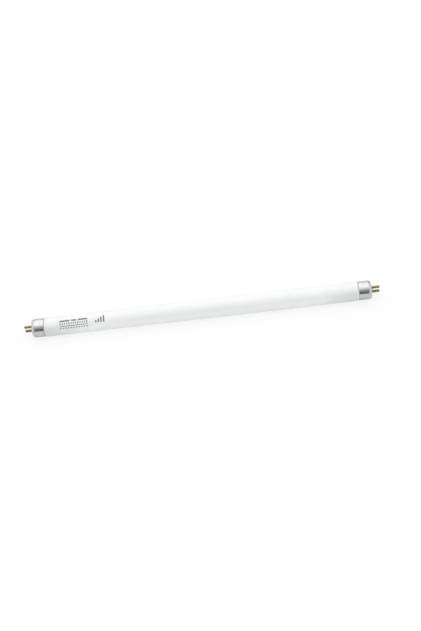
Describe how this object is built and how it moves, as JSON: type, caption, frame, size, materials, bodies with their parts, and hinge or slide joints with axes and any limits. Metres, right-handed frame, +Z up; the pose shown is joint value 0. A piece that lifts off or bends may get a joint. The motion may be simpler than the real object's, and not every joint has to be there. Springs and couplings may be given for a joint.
{
  "type": "blacklight fluorescent tube",
  "caption": "Straight fluorescent lamp: a slim white-coated glass tube with a rounded aluminium cap and brass contact pins at each end.",
  "frame": {"origin": "middle of the lamp, on the tube's axis", "axes": "+X along the tube to the right cap, +Z up in the plane of the pins, so each end has an upper and a lower pin"},
  "size_m": [0.3016, 0.0164, 0.0164],
  "materials": {
    "coated_glass": "clear gloss over a white phosphor coating",
    "cap_aluminium": "satin, as drawn",
    "phenolic": "moulded, dull",
    "pin_brass": "dulled",
    "cement": "baked cement, matt",
    "lead_wire": "bright wire"
  },
  "bodies": {
    "root": {"glass_tube": "coated_glass", "right_end_cap": "cap_aluminium", "left_end_cap": "cap_aluminium", "right_insulator": "phenolic", "left_insulator": "phenolic", "right_upper_pin": "pin_brass", "right_lower_pin": "pin_brass", "left_upper_pin": "pin_brass", "left_lower_pin": "pin_brass", "right_cement_ring": "cement", "left_cement_ring": "cement", "right_upper_lead_wire": "lead_wire", "right_lower_lead_wire": "lead_wire", "left_upper_lead_wire": "lead_wire", "left_lower_lead_wire": "lead_wire"}
  },
  "joints": []
}
